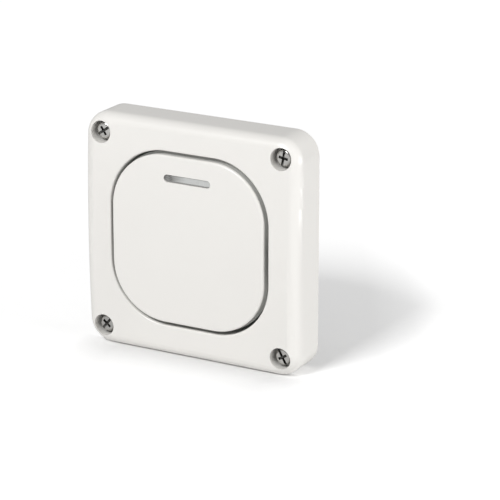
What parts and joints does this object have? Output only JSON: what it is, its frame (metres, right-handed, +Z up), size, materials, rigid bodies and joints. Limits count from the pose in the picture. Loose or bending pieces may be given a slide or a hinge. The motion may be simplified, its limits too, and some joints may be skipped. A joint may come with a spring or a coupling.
{
  "type": "outdoor weatherproof switch",
  "caption": "Square weatherproof wall switch: arched cover with corner screws, sealed rocker key with an indicator lens, and a two-way mechanism behind.",
  "frame": {"origin": "centre of the cover's back plane, which is also the centre of the four fixing screws at the wall", "axes": "-Y out of the wall towards the user, +Y into the wall, +Z up, +X to the right as the user sees it"},
  "size_m": [0.082, 0.0382, 0.082],
  "materials": {
    "cover_white": "satin moulded plastic, warm white",
    "key_white": "satin moulded plastic, warm white",
    "seal_grey": "soft elastomer, matt dark grey",
    "gasket_black": "soft elastomer, matt black",
    "lens_grey": "translucent grey, ribbed inside",
    "clear_plastic": "clear moulded plastic",
    "bright_steel": "bright steel, polished",
    "zinc_steel": "zinc plated steel",
    "frame_plastic": "grey moulded plastic",
    "housing_plastic": "pale grey moulded plastic",
    "holder_plastic": "pale moulded plastic",
    "dolly_plastic": "white low-friction plastic",
    "plunger_plastic": "dark low-friction plastic",
    "lamp_glass": "small glass lamp",
    "tinned_copper": "tinned wire",
    "spring_steel": "drawn spring wire",
    "contact_copper": "copper alloy strip",
    "contact_silver": "silver contact metal",
    "terminal_brass": "machined brass"
  },
  "bodies": {
    "housing": {"cover_plate": "cover_white", "cover_screws": "bright_steel", "screw_seals": "seal_grey", "rear_gasket": "gasket_black", "pivot_pins": "bright_steel", "sealing_membrane": "seal_grey", "clamp_frame": "frame_plastic", "frame_screws": "zinc_steel", "lamp_window": "clear_plastic", "indicator_lamp": "lamp_glass", "lamp_holder": "holder_plastic", "lamp_leads": "tinned_copper", "mechanism_lid": "housing_plastic", "mechanism_screws": "zinc_steel", "mechanism_base": "housing_plastic", "common_terminal": "terminal_brass", "way_one_terminal": "terminal_brass", "way_two_terminal": "terminal_brass", "fixed_contact_tips": "contact_silver", "terminal_screws": "zinc_steel"},
    "key": {"rocker_key": "key_white", "key_seal_ring": "seal_grey", "indicator_lens": "lens_grey", "light_guide": "clear_plastic"},
    "dolly": {"actuator_dolly": "dolly_plastic"},
    "plunger_body": {"plunger": "plunger_plastic", "plunger_spring": "spring_steel"},
    "seesaw": {"seesaw_contact": "contact_copper", "moving_contact_tips": "contact_silver"}
  },
  "joints": [
    {"name": "key_tilt", "type": "hinge", "parent": "housing", "child": "key", "pos_m": [0, -0.009, 0.0007], "axis": [-1, 0, 0], "range_deg": [0, 4.4], "deforming": ["sealing_membrane"]},
    {"name": "dolly_tilt", "type": "hinge", "parent": "housing", "child": "dolly", "pos_m": [0, 0.0075, 0.0007], "axis": [-1, 0, 0], "range_deg": [-8.8, 0], "deforming": ["sealing_membrane"]},
    {"name": "plunger_slide", "type": "slide", "parent": "dolly", "child": "plunger_body", "axis": [0, -0.9971, 0.0767], "range_m": [0, 0.0008], "stiffness_N_per_m": 200, "springref_m": -0.001, "deforming": ["plunger_spring"]},
    {"name": "seesaw_tilt", "type": "hinge", "parent": "housing", "child": "seesaw", "pos_m": [0, 0.0161, 0.0007], "axis": [-1, 0, 0], "range_deg": [0, 9]}
  ],
  "couplings": [
    {"joint": "dolly_tilt", "follows": "key_tilt", "ratio": -2},
    {"joint": "seesaw_tilt", "follows": "key_tilt", "ratio": 2.0455}
  ]
}
